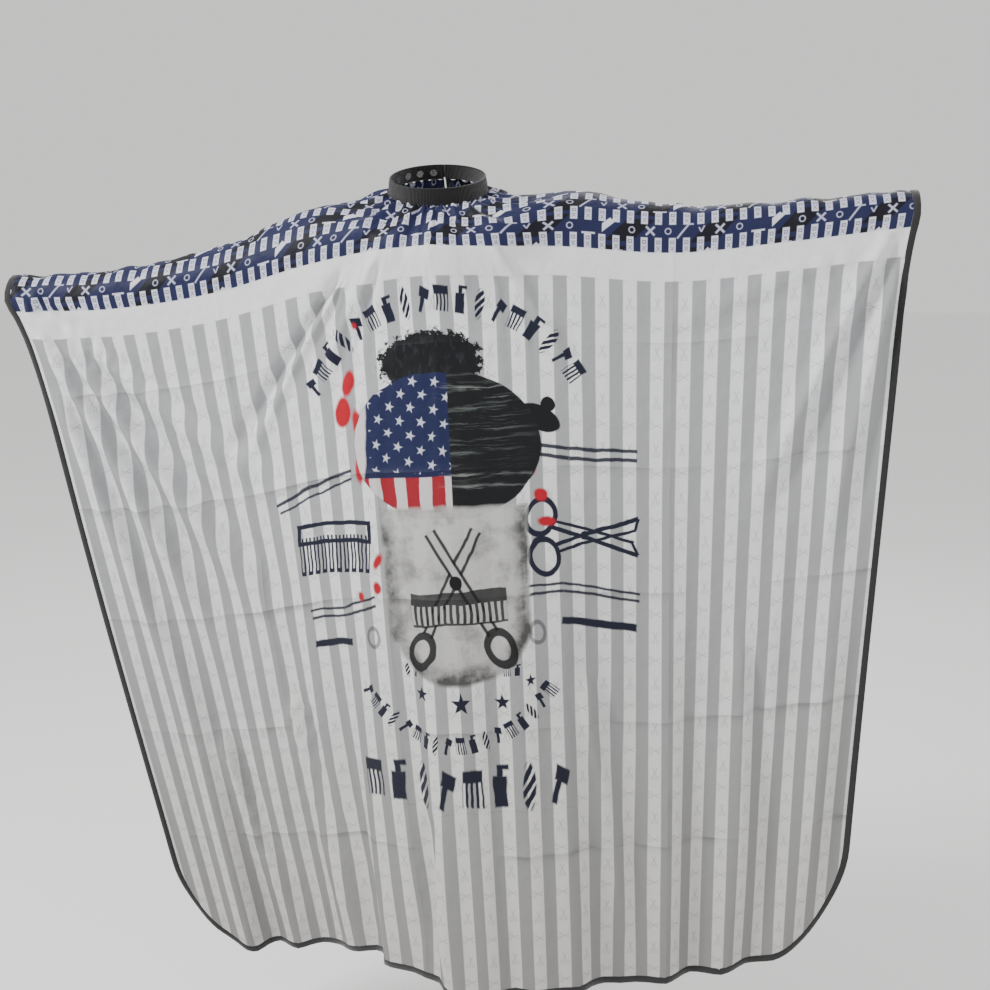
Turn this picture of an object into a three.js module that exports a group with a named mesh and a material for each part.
// A barber cape, worn: a light printed sheet gathered into an elastic neckband, lying over two
// arms held out sideways, with a long drop in front and a short slit drop behind each arm.
// Millimetres, +Z up, +X to the viewer's right, -Y towards the viewer. The origin is the centre
// of the neck, in the plane of the seam where the cloth meets the band.
import * as THREE from "three";

// ---- Driving dimensions ----

// The sheet as it is cut. Flat places are u, across from the middle, and v, down from the neck.
const CAPE_WIDTH = 1250; // from one side edge to the other
const FRONT_LENGTH = 1140; // from the neck's centre to the front hem
const BACK_LENGTH = 260; // from the neck's centre to the back hem
const FRONT_CORNER = 150; // radius of the two lower corners in front
const BACK_CORNER = 150; // radius of the two outer corners behind
const YOKE_DEPTH = 155; // from the neck's centre to the front edge of the dark yoke
const NECK_CUT = 86; // radius of the hole that is gathered into the band
const SLIT = 3; // width of the opening down the back
const CLOTH = 1.2; // thickness that stands for the cloth and its small folds

// The black tape folded over every outer edge.
const TAPE_WIDTH = 9;
const TAPE_THICK = 2.4;

// The neckband: a cone frustum, leaning forward.
const BAND_RADIUS = 65.6; // outer radius at the seam
const BAND_TAPER = 3; // how much smaller that radius is at the top
const BAND_HEIGHT = 21;
const BAND_THICK = 2.4;
const BAND_LEAN = THREE.MathUtils.degToRad(15);
const BAND_SPLIT = 2; // space between the band's two ends at the nape

// The closing tab, which carries the sockets over the studs on the other end of the band.
const TAB_LENGTH = 46;
const TAB_ROOT = 8; // the stretch sewn to the band's end
const TAB_THICK = 1.6;
const TAB_HEIGHT = 18;

// Ring snaps, in pairs of stud and socket.
const SNAP_RADIUS = 4.8;
const SNAP_DISC = 0.7; // thickness of a stud's or a post's disc
const SNAP_BALL = 2.1; // radius of the ball that enters a socket
const BALL_STANDS = 2.0; // how far the ball stands above its disc
const SOCKET_DEPTH = 1.7;
const CAP_RISE = 1.3;
const FIRST_SNAP = 14; // along the band from its end to the first stud
const SNAP_PITCH = 20;
const STUDS = 5; // a row of studs gives the neck sizes
const SOCKETS = 2;

// Clearances.
const GAP = 0.4; // between pieces that touch
const SEAM = 0.7; // between the tape and the sheet it is sewn to
const BALL_CLEARANCE = 0.5; // round a ball inside its socket
const NECK_SEAM = 1.1; // between the band and the cloth that is gathered into it

// The line over the neck and arms that the sheet hangs from, by even steps of u: x and height.
const LEFT_ARM = [[0, 35], [-148, -14], [-292, -70], [-437, -102], [-582, -112]];
const RIGHT_ARM = [[0, 35], [154, 8], [306, -16], [458, -10], [610, 4]];
const WRIST_RADIUS = 34; // roundness of the fold over a wrist
const CHEST_RADIUS = 88; // roundness of the fold over the shoulders in front
const NAPE_RADIUS = 84; // the same behind
const CHEST_SPREAD = 230; // how far from the middle the chest rounds the fold
const CHEST_SWELL = 30; // how far the chest pushes the front out
const SHARE_BEHIND = 92; // cloth that a wrist has pulled over to the back
const LEAN_LEFT = THREE.MathUtils.degToRad(9.5); // how far the side edges hang inwards
const LEAN_RIGHT = THREE.MathUtils.degToRad(-2.5);
const LEAN_BEHIND = THREE.MathUtils.degToRad(18); // the same for the drops behind
const TUCK_LEFT = 26; // how far the front edge tucks in under each wrist
const TUCK_RIGHT = 10;
const TUCK_SPREAD = 150;
const HEM_SWING = [120, 120, -70, -30, 10]; // how far the hem hangs back, by even steps of u
const HEM_SWING_DEPTH = 1050; // the length of hang at which the hem has that swing
const FRONT_BLEND = 240; // distance from the neck where the chest's shape takes over
const BACK_BLEND = 150;

// Where each back drop starts to swing: the height of that line at the nape and at the wrists.
const SWING_NAPE = -92;
const SWING_LEFT = -182;
const SWING_RIGHT = -75;

// ---- The draped shape ----

const HALF = CAPE_WIDTH / 2;
const QUARTER = Math.PI / 2;
const line = (points) =>
  new THREE.CatmullRomCurve3(points.map(([x, z]) => new THREE.Vector3(x, 0, z)), false, "catmullrom");
const leftArm = line(LEFT_ARM);
const rightArm = line(RIGHT_ARM);
const hemSwing = line(HEM_SWING.map((swing, i) => [i, swing]));

const mix = THREE.MathUtils.lerp;
const ease = (t) => THREE.MathUtils.smoothstep(t, 0, 1);

// The top of the fold over the arms at u, with the height of the swing line below it.
function armAt(u) {
  const top = (u < 0 ? leftArm : rightArm).getPoint(Math.min(Math.abs(u) / HALF, 1));
  const wrist = u < 0 ? LEFT_ARM.at(-1)[0] : RIGHT_ARM.at(-1)[0];
  const share = top.x / wrist;
  const back = mix(NAPE_RADIUS, WRIST_RADIUS, share);
  const swing = mix(SWING_NAPE, u < 0 ? SWING_LEFT : SWING_RIGHT, share);
  const chest = Math.exp(-((u / CHEST_SPREAD) ** 2));
  return {
    x: top.x,
    z: top.z,
    v: SHARE_BEHIND * (1 - Math.exp(-((Math.abs(u) / CHEST_SPREAD) ** 1.3))),
    front: WRIST_RADIUS + (CHEST_RADIUS - WRIST_RADIUS) * chest,
    back,
    chest,
    swingHang: top.z - back - swing,
  };
}

// The flat v at which the back drop starts to swing.
function swingEdge(u) {
  const arm = armAt(u);
  return arm.v - arm.back * QUARTER - arm.swingHang;
}

// The sheet over the arms and the body, away from the neck.
function overBody(u, v) {
  const arm = armAt(u);
  const front = v >= arm.v;
  const length = Math.abs(v - arm.v);
  const radius = front ? arm.front : arm.back;
  const turn = Math.min(length / radius, QUARTER);
  const hang = Math.max(length - radius * QUARTER, 0);
  const place = new THREE.Vector3(arm.x, radius * Math.sin(turn), arm.z - radius * (1 - Math.cos(turn)));
  if (!front) {
    const lean = (-LEAN_BEHIND * u) / HALF;
    const free = Math.max(hang - arm.swingHang, 0);
    place.x += free * Math.sin(lean);
    place.z -= hang - free + free * Math.cos(lean);
    return place;
  }
  const across = (u + HALF) / CAPE_WIDTH;
  const lean = mix(LEAN_LEFT, LEAN_RIGHT, across);
  const tuckLeft = TUCK_LEFT * Math.exp(-(((u + HALF) / TUCK_SPREAD) ** 2));
  const tuckRight = TUCK_RIGHT * Math.exp(-(((u - HALF) / TUCK_SPREAD) ** 2));
  const swell = CHEST_SWELL * arm.chest * Math.sin(Math.PI * Math.min(hang / 1000, 1));
  const swing = hemSwing.getPoint(across).z * Math.min(hang / HEM_SWING_DEPTH, 1.2) ** 1.5;
  place.x += hang * Math.sin(lean) + (tuckLeft - tuckRight) * (1 - Math.exp(-hang / 50));
  place.y = -place.y - swell + swing;
  place.z -= hang * Math.cos(lean);
  return place;
}

// The sheet just outside the band: a skirt that falls away from the seam.
function overNeck(u, v) {
  const angle = Math.atan2(u, v);
  const out = Math.max(Math.hypot(u, v) - NECK_CUT, 0);
  const facing = Math.cos(angle);
  const fall = THREE.MathUtils.degToRad(15 + (facing > 0 ? 20 : 45) * facing * facing);
  const reach = BAND_RADIUS + GAP + out * Math.cos(fall);
  const seam = new THREE.Vector3(0, -(BAND_RADIUS + GAP) * facing, 0);
  seam.applyAxisAngle(new THREE.Vector3(1, 0, 0), BAND_LEAN);
  return new THREE.Vector3(
    reach * Math.sin(angle),
    seam.y - out * Math.cos(fall) * facing,
    seam.z - out * Math.sin(fall),
  );
}

// Where the flat place u, v of the sheet lies when the cape is worn.
function drape(u, v) {
  const out = Math.hypot(u, v);
  const blend = mix(BACK_BLEND, FRONT_BLEND, (1 + v / out) / 2);
  const share = ease((out - NECK_CUT) / (blend - NECK_CUT));
  return overNeck(u, v).lerp(overBody(u, v), share);
}

// ---- Closed solids ----

// Turns a grid of places into one closed sheet. placeAt(a, b) gives the middle surface for a and
// b from 0 to 1, and offsets(a, b) how far the two skins lie from it along its normal.
function sheet(placeAt, columns, rows, offsets) {
  const positions = [];
  const step = 1e-3;
  const normalAt = (a, b) => {
    const along = placeAt(Math.min(a + step, 1), b).sub(placeAt(Math.max(a - step, 0), b));
    const down = placeAt(a, Math.min(b + step, 1)).sub(placeAt(a, Math.max(b - step, 0)));
    return along.cross(down).normalize();
  };
  for (const side of [0, 1])
    for (let j = 0; j <= rows; j++)
      for (let i = 0; i <= columns; i++) {
        const a = i / columns;
        const b = j / rows;
        const place = placeAt(a, b);
        place.addScaledVector(normalAt(a, b), offsets(a, b)[side]);
        positions.push(place.x, place.y, place.z);
      }
  const index = [];
  const id = (side, i, j) => side * (columns + 1) * (rows + 1) + j * (columns + 1) + i;
  const quad = (p, q, r, s) => index.push(p, q, r, p, r, s);
  for (let j = 0; j < rows; j++)
    for (let i = 0; i < columns; i++) {
      quad(id(0, i, j), id(0, i, j + 1), id(0, i + 1, j + 1), id(0, i + 1, j));
      quad(id(1, i, j), id(1, i + 1, j), id(1, i + 1, j + 1), id(1, i, j + 1));
    }
  for (let i = 0; i < columns; i++) {
    quad(id(0, i, 0), id(0, i + 1, 0), id(1, i + 1, 0), id(1, i, 0));
    quad(id(0, i + 1, rows), id(0, i, rows), id(1, i, rows), id(1, i + 1, rows));
  }
  for (let j = 0; j < rows; j++) {
    quad(id(0, 0, j + 1), id(0, 0, j), id(1, 0, j), id(1, 0, j + 1));
    quad(id(0, columns, j), id(0, columns, j + 1), id(1, columns, j + 1), id(1, columns, j));
  }
  const geometry = new THREE.BufferGeometry();
  geometry.setAttribute("position", new THREE.Float32BufferAttribute(positions, 3));
  geometry.setIndex(index);
  geometry.computeVertexNormals();
  return geometry;
}

const even = (thickness) => () => [-thickness / 2, thickness / 2];
const turned = (placeAt) => (a, b) => placeAt(1 - a, b); // for the mirror side, so faces point out

const cape = new THREE.Group();

function material(colour, roughness, metalness = 0) {
  return new THREE.MeshStandardMaterial({ color: colour, roughness, metalness });
}
const STRIPED_CLOTH = material(0xd9dadd, 0.62);
const DARK_CLOTH = material(0x232a48, 0.6);
const BLACK_KNIT = material(0x131315, 0.9);
const BLACK_TAPE = material(0x17171a, 0.75);
const NICKEL = material(0xc9c9c6, 0.28, 1);

function add(name, geometry, finish, parent = cape) {
  const mesh = new THREE.Mesh(geometry, finish);
  mesh.name = name;
  parent.add(mesh);
  return mesh;
}

// ---- The sheet, cut back from its edges by the tape ----

const INSET = TAPE_WIDTH + SEAM;
const YOKE_ROWS = 20;
const SIDE_ROWS = 17; // rows of the front drop along its straight sides
const CORNER_ROWS = 7; // rows of the front drop round its lower corners
const DROP_ROWS = SIDE_ROWS + CORNER_ROWS;
const DROP_COLUMNS = 32;
const BACK_COLUMNS = 22;
const BACK_CORNER_COLUMNS = 8;
const BACK_ROWS = 5;

// The front drop's half width and flat v at a row, which may lie between two whole rows.
function frontRow(row, inset) {
  const radius = FRONT_CORNER - inset;
  const turn = (Math.max(row - SIDE_ROWS, 0) / CORNER_ROWS) * QUARTER;
  const straight = mix(YOKE_DEPTH + GAP, FRONT_LENGTH - FRONT_CORNER, Math.min(row / SIDE_ROWS, 1));
  return [HALF - FRONT_CORNER + radius * Math.cos(turn), straight + radius * Math.sin(turn)];
}

// The front drop: full width, with rounded lower corners.
function frontDrop(a, b) {
  const [halfWidth, v] = frontRow(b * DROP_ROWS, INSET);
  return drape(mix(-halfWidth, halfWidth, a), v);
}
add("front_drop", sheet(frontDrop, DROP_COLUMNS, DROP_ROWS, even(CLOTH)), STRIPED_CLOTH);

// The inner outline of a yoke half: down the front's middle line, round the neck, down the slit.
function yokeInner(b) {
  const hole = NECK_CUT + NECK_SEAM;
  const front = 0.2;
  const back = 0.75;
  if (b < front) return [GAP / 2, mix(YOKE_DEPTH, hole, b / front)];
  const slit = SLIT / 2 + INSET;
  if (b > back) return [slit, mix(-hole, swingEdge(slit) + GAP, (b - back) / (1 - back))];
  const last = Math.PI - Math.asin(slit / hole);
  const angle = mix(GAP / 2 / hole, last, (b - front) / (back - front));
  return [hole * Math.sin(angle), hole * Math.cos(angle)];
}

// One half of the yoke, from the neck out over a shoulder and an arm to the wrist.
function yokeHalf(side) {
  const inner = SLIT / 2 + INSET;
  const outer = HALF - INSET;
  return (a, b) => {
    const [innerU, innerV] = yokeInner(b);
    const u = mix(innerU, outer, a);
    const straight = mix(YOKE_DEPTH, swingEdge(side * outer) + GAP, b);
    const swingLine = mix(swingEdge(side * inner), swingEdge(side * outer), (u - inner) / (outer - inner));
    const bend = swingEdge(side * u) - swingLine;
    const late = 2 + 6 * (1 - a) ** 4; // the rows take up the bend late near the neck
    return drape(side * u, mix(innerV, straight, a) + bend * b ** late);
  };
}
add("yoke_right", sheet(yokeHalf(1), 26, YOKE_ROWS, even(CLOTH)), DARK_CLOTH);
add("yoke_left", sheet(turned(yokeHalf(-1)), 26, YOKE_ROWS, even(CLOTH)), DARK_CLOTH);

// A back drop's lower outline at a column: straight from the slit, then round the outer corner.
function backColumn(column, inset, start) {
  const straight = BACK_COLUMNS - BACK_CORNER_COLUMNS;
  const radius = BACK_CORNER - inset;
  const turn = (Math.max(column - straight, 0) / BACK_CORNER_COLUMNS) * QUARTER;
  const along = mix(start, HALF - BACK_CORNER, Math.min(column / straight, 1));
  return [along + radius * Math.sin(turn), -(BACK_LENGTH - BACK_CORNER) - radius * Math.cos(turn)];
}

// One of the two drops behind the arms.
function backDrop(side) {
  return (a, b) => {
    const [u, hem] = backColumn(a * BACK_COLUMNS, INSET, SLIT / 2 + INSET);
    return drape(side * u, mix(swingEdge(side * u) - GAP, hem, b));
  };
}
add("back_drop_right", sheet(backDrop(1), BACK_COLUMNS, BACK_ROWS, even(CLOTH)), DARK_CLOTH);
add("back_drop_left", sheet(turned(backDrop(-1)), BACK_COLUMNS, BACK_ROWS, even(CLOTH)), DARK_CLOTH);

// ---- The tape round the edges, in the same steps as the sheet beside it ----

// The front tape: from one wrist down the side, along the hem and up to the other wrist.
const FRONT_STEPS = 2 * (YOKE_ROWS + DROP_ROWS) + DROP_COLUMNS;
function frontTape(a, b) {
  const inset = TAPE_WIDTH * (1 - b);
  const fromMiddle = Math.abs(a - 0.5) * FRONT_STEPS;
  const side = a < 0.5 ? -1 : 1;
  const row = DROP_ROWS - (fromMiddle - DROP_COLUMNS / 2);
  if (row > DROP_ROWS) {
    const corner = HALF - FRONT_CORNER;
    return drape((side * corner * fromMiddle) / (DROP_COLUMNS / 2), FRONT_LENGTH - inset);
  }
  if (row < 0) {
    const edge = side * (HALF - inset);
    return drape(edge, mix(YOKE_DEPTH, swingEdge(side * HALF) + GAP, -row / YOKE_ROWS));
  }
  const [halfWidth, v] = frontRow(row, inset);
  return drape(side * halfWidth, v);
}
add("front_tape", sheet(frontTape, FRONT_STEPS, 1, even(TAPE_THICK)), BLACK_TAPE);

// The tape of a back drop: down the wrist side, round the corner and along the hem to the slit.
const BACK_STEPS = BACK_ROWS + BACK_COLUMNS;
function backTape(side) {
  return (a, b) => {
    const inset = TAPE_WIDTH * (1 - b);
    const step = a * BACK_STEPS;
    const low = -(BACK_LENGTH - BACK_CORNER);
    const top = swingEdge(side * HALF) - GAP;
    if (step < BACK_ROWS) return drape(side * (HALF - inset), mix(top, low, step / BACK_ROWS));
    const [u, v] = backColumn(BACK_STEPS - step, inset, SLIT / 2 + INSET);
    return drape(side * u, v);
  };
}
add("back_tape_right", sheet(turned(backTape(1)), BACK_STEPS, 1, even(TAPE_THICK)), BLACK_TAPE);
add("back_tape_left", sheet(backTape(-1), BACK_STEPS, 1, even(TAPE_THICK)), BLACK_TAPE);

// The tape of a slit edge on a back drop.
function slitTape(side) {
  return (a, b) => {
    const u = side * (SLIT / 2 + TAPE_WIDTH * b);
    return drape(u, mix(swingEdge(u) - GAP, -BACK_LENGTH, a));
  };
}
add("slit_tape_right", sheet(slitTape(1), BACK_ROWS, 1, even(TAPE_THICK)), BLACK_TAPE);
add("slit_tape_left", sheet(turned(slitTape(-1)), BACK_ROWS, 1, even(TAPE_THICK)), BLACK_TAPE);

// The tape of a slit edge above the swing line, up to the neck.
function napeTape(side) {
  return (a, b) => {
    const u = side * (SLIT / 2 + TAPE_WIDTH * b);
    return drape(u, mix(-NECK_CUT - NECK_SEAM, swingEdge(u) + GAP, a));
  };
}
add("nape_tape_right", sheet(napeTape(1), BACK_ROWS, 1, even(TAPE_THICK)), BLACK_TAPE);
add("nape_tape_left", sheet(turned(napeTape(-1)), BACK_ROWS, 1, even(TAPE_THICK)), BLACK_TAPE);

// ---- The neckband and its closure, in the band's own leaning frame ----

const collar = new THREE.Group();
collar.rotation.x = BAND_LEAN;
cape.add(collar);

// A place on the band's outer face pushed out by rise. Angle 0 is the throat, half a turn the nape.
function onBand(angle, height, rise) {
  const taper = Math.atan(BAND_TAPER / BAND_HEIGHT);
  const radius = BAND_RADIUS - (BAND_TAPER * height) / BAND_HEIGHT + rise * Math.cos(taper);
  return new THREE.Vector3(
    radius * Math.sin(angle),
    -radius * Math.cos(angle),
    height + rise * Math.sin(taper),
  );
}

const SPLIT_ANGLE = BAND_SPLIT / 2 / BAND_RADIUS;
function bandPlace(a, b) {
  const angle = mix(-(Math.PI - SPLIT_ANGLE), Math.PI - SPLIT_ANGLE, a);
  return onBand(angle, BAND_HEIGHT * b, 0);
}
add("neckband", sheet(bandPlace, 80, 2, () => [-BAND_THICK, 0]), BLACK_KNIT, collar);

// The tab starts on the right end of the band, is sewn down over TAB_ROOT, and steps out far
// enough to leave room for the snaps between it and the left end.
const STAND_OFF = GAP + SNAP_DISC + BALL_STANDS + GAP + (SOCKET_DEPTH - BALL_STANDS) + GAP;
const bandAngle = (length) => length / BAND_RADIUS;
const TAB_START = Math.PI - SPLIT_ANGLE - bandAngle(TAB_ROOT);
function tabPlace(a, b) {
  const tip = 0.8;
  const round = Math.max(a - tip, 0) / (1 - tip);
  const halfHeight = (TAB_HEIGHT / 2) * Math.sqrt(1 - 0.85 * round * round);
  const height = BAND_HEIGHT / 2 + mix(-halfHeight, halfHeight, b);
  return onBand(TAB_START + bandAngle(TAB_LENGTH + TAB_ROOT) * a, height, STAND_OFF);
}
const rootShare = (TAB_ROOT - 1) / (TAB_LENGTH + TAB_ROOT);
const tabSkins = (a) => [a < rootShare ? GAP - STAND_OFF : 0, TAB_THICK];
add("closing_tab", sheet(tabPlace, 36, 2, tabSkins), BLACK_KNIT, collar);

// A turned piece whose profile, from the axis and back to it, is given as radius and height.
const turnedPiece = (profile) =>
  new THREE.LatheGeometry(profile.map(([radius, height]) => new THREE.Vector2(radius, height)), 20);

// Sets a turned piece on the band, so that its height runs straight out from the band's face.
function setSnap(name, profile, length, rise) {
  const angle = Math.PI + SPLIT_ANGLE + bandAngle(length);
  const snap = add(name, turnedPiece(profile), NICKEL, collar);
  const foot = onBand(angle, BAND_HEIGHT / 2, rise);
  snap.position.copy(foot);
  const out = onBand(angle, BAND_HEIGHT / 2, rise + 1).sub(foot).normalize();
  snap.quaternion.setFromUnitVectors(new THREE.Vector3(0, 1, 0), out);
}

const postProfile = [[0, 0], [SNAP_RADIUS, 0], [SNAP_RADIUS, SNAP_DISC], [0, SNAP_DISC]];
const ballTop = SNAP_DISC + BALL_STANDS - 2 * GAP;
const studProfile = [
  [0, 0],
  [SNAP_RADIUS, 0],
  [SNAP_RADIUS, SNAP_DISC],
  [SNAP_BALL, SNAP_DISC],
  [SNAP_BALL, ballTop - 0.5],
  [SNAP_BALL - 0.5, ballTop],
  [0, ballTop],
];
for (let i = 0; i < STUDS; i++) {
  const along = FIRST_SNAP + i * SNAP_PITCH;
  setSnap(`snap_stud_${i + 1}`, studProfile, along, GAP);
  setSnap(`snap_post_${i + 1}`, postProfile, along, -BAND_THICK - GAP - SNAP_DISC);
}

const hole = SNAP_BALL + BALL_CLEARANCE;
const socketProfile = [
  [hole, 0],
  [SNAP_RADIUS - 0.4, 0],
  [SNAP_RADIUS, 0.4],
  [SNAP_RADIUS, SOCKET_DEPTH - GAP],
  [hole, SOCKET_DEPTH - GAP],
  [hole, 0],
];
const capProfile = [
  [0, 0],
  [SNAP_RADIUS, 0],
  [SNAP_RADIUS, 0.4],
  [SNAP_RADIUS * 0.75, CAP_RISE * 0.85],
  [0, CAP_RISE],
];
for (let i = 0; i < SOCKETS; i++) {
  const along = FIRST_SNAP + i * SNAP_PITCH;
  setSnap(`snap_socket_${i + 1}`, socketProfile, along, STAND_OFF - GAP - (SOCKET_DEPTH - GAP));
  setSnap(`snap_cap_${i + 1}`, capProfile, along, STAND_OFF + TAB_THICK + GAP);
}

export default cape;
